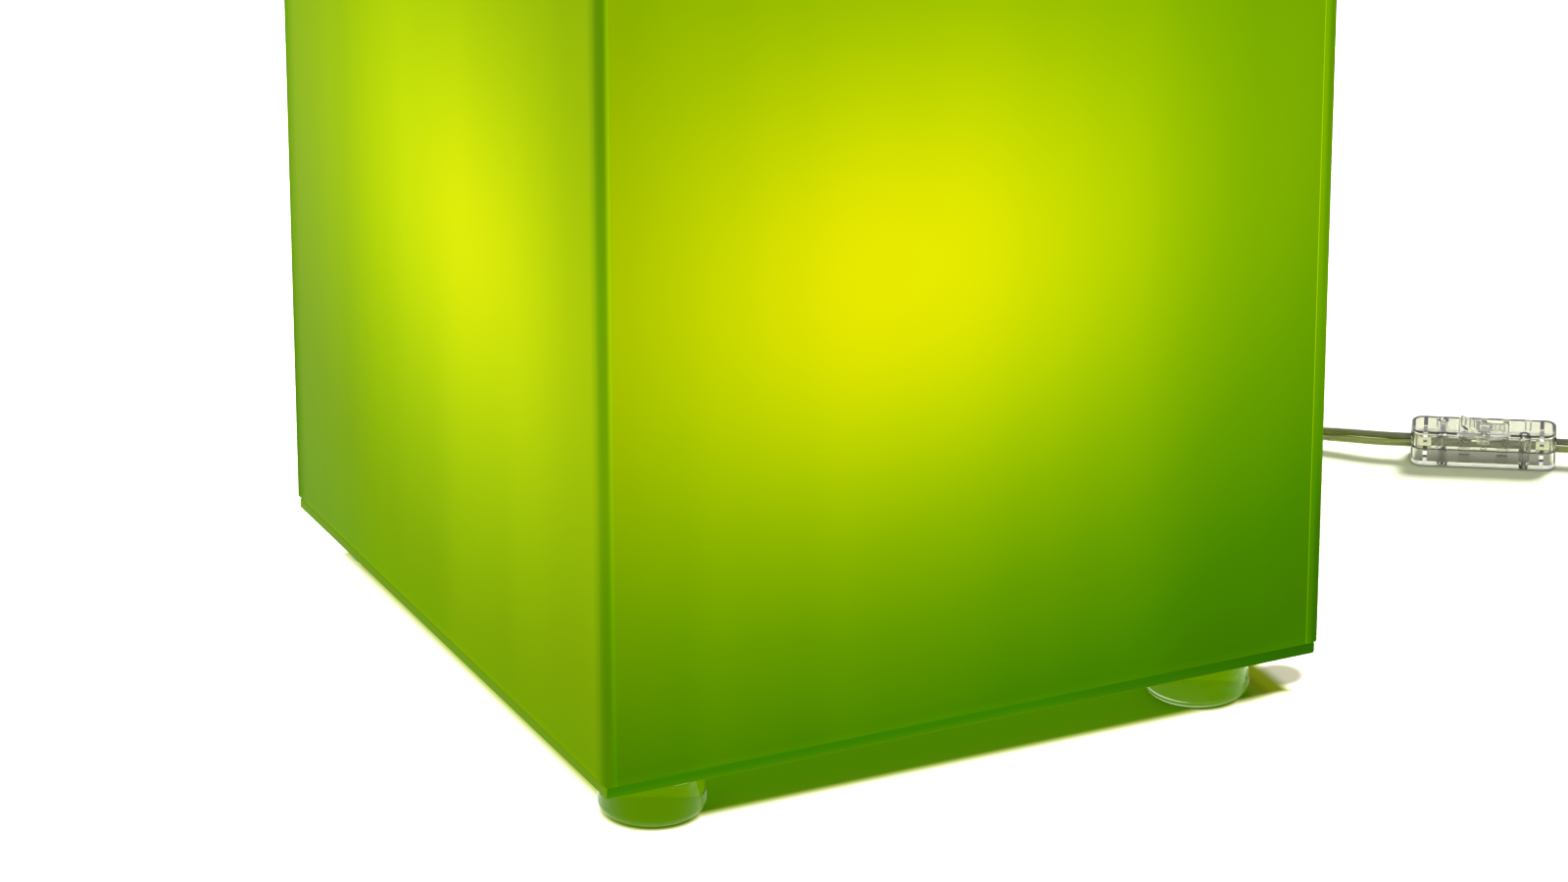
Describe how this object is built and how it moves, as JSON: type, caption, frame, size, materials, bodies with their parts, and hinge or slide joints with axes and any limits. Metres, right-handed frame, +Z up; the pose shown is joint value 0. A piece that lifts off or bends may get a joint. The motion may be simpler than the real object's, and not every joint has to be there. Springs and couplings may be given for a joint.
{
  "type": "led cube light",
  "caption": "Lit box lamp: a satin green glass bonnet lifts off a glass plate on clear feet, over a screw-in LED bulb, with a clear cord, rocker switch and plug.",
  "frame": {"origin": "centre of the lamp's square footprint, on the surface that its feet stand on", "axes": "+Z up, -Y out of the front pane, +X to the right, the side that the cord leaves on"},
  "size_m": [0.5247, 0.25, 0.292],
  "materials": {
    "satin_green_glass": "satin, green, lit from inside",
    "green_plate_glass": "polished, green",
    "clear_acrylic": "clear, polished",
    "clear_pvc_jacket": "clear, soft sheen",
    "clear_pvc_moulding": "clear, moulded",
    "olive_core_insulation": "satin",
    "clear_polycarbonate": "clear, moulded",
    "zinc_plated_steel": "bright zinc",
    "nickel_plated_brass": "bright nickel",
    "yellow_brass": "drawn",
    "white_powder_coat": "satin white",
    "white_moulding": "satin white",
    "steatite": "unglazed",
    "pressed_aluminium": "rolled",
    "black_vitrite": "gloss black",
    "opal_globe": "opal",
    "white_circuit_board": "white solder mask",
    "led_phosphor": "phosphor gel",
    "white_strap": "hook and loop",
    "black_pin_sleeve": "matt"
  },
  "bodies": {
    "base": {"base_plate": "green_plate_glass", "centre_contact": "nickel_plated_brass", "coil_tie": "white_strap", "cord_coil": "clear_pvc_jacket", "cord_cores": "olive_core_insulation", "cord_cup": "white_powder_coat", "cord_root": "clear_pvc_jacket", "cord_sleeve": "clear_pvc_moulding", "cord_to_coil": "clear_pvc_jacket", "cord_to_plug": "clear_pvc_jacket", "cord_to_switch": "clear_pvc_jacket", "corner_angle_front_left": "clear_acrylic", "corner_angle_front_right": "clear_acrylic", "corner_angle_rear_left": "clear_acrylic", "corner_angle_rear_right": "clear_acrylic", "cup_lid": "white_powder_coat", "cup_nut": "zinc_plated_steel", "cup_washer": "zinc_plated_steel", "foot_front_left": "clear_acrylic", "foot_front_right": "clear_acrylic", "foot_rear_left": "clear_acrylic", "foot_rear_right": "clear_acrylic", "holder_core": "steatite", "holder_cup": "white_moulding", "holder_nut": "zinc_plated_steel", "holder_skirt": "white_moulding", "plug_body": "clear_pvc_moulding", "plug_boot": "clear_pvc_moulding", "plug_pin_sleeves": "black_pin_sleeve", "plug_pins": "nickel_plated_brass", "socket_shell": "yellow_brass", "stem_seat": "white_powder_coat", "stem_sleeve": "white_powder_coat", "switch_contacts": "nickel_plated_brass", "switch_cores": "olive_core_insulation", "switch_jackets": "clear_pvc_jacket", "switch_lower_shell": "clear_polycarbonate", "switch_screws": "zinc_plated_steel", "switch_upper_shell": "clear_polycarbonate", "terminal_screws": "nickel_plated_brass", "threaded_tube": "yellow_brass"},
    "shade": {"pane_front": "satin_green_glass", "pane_left": "satin_green_glass", "pane_rear": "satin_green_glass", "pane_right": "satin_green_glass", "pane_top": "satin_green_glass"},
    "bulb": {"bulb_board": "white_circuit_board", "bulb_cap": "pressed_aluminium", "bulb_collar": "white_moulding", "bulb_globe": "opal_globe", "bulb_insulator": "black_vitrite", "bulb_leds": "led_phosphor", "bulb_tip": "nickel_plated_brass"},
    "rocker": {"switch_rocker": "clear_polycarbonate"}
  },
  "joints": [
    {"name": "shade_lift", "type": "slide", "parent": "base", "child": "shade", "axis": [0, 0, 1], "range_m": [0, 0.2]},
    {"name": "bulb_unscrew", "type": "hinge", "parent": "base", "child": "bulb", "pos_m": [0, 0, 0.12], "axis": [0, 0, 1], "range_deg": [0, 1080]},
    {"name": "switch_press", "type": "hinge", "parent": "base", "child": "rocker", "pos_m": [0.2725, 0.0183, 0.0104], "axis": [-0.5225, -0.8526, 0], "range_deg": [0, 16]}
  ]
}
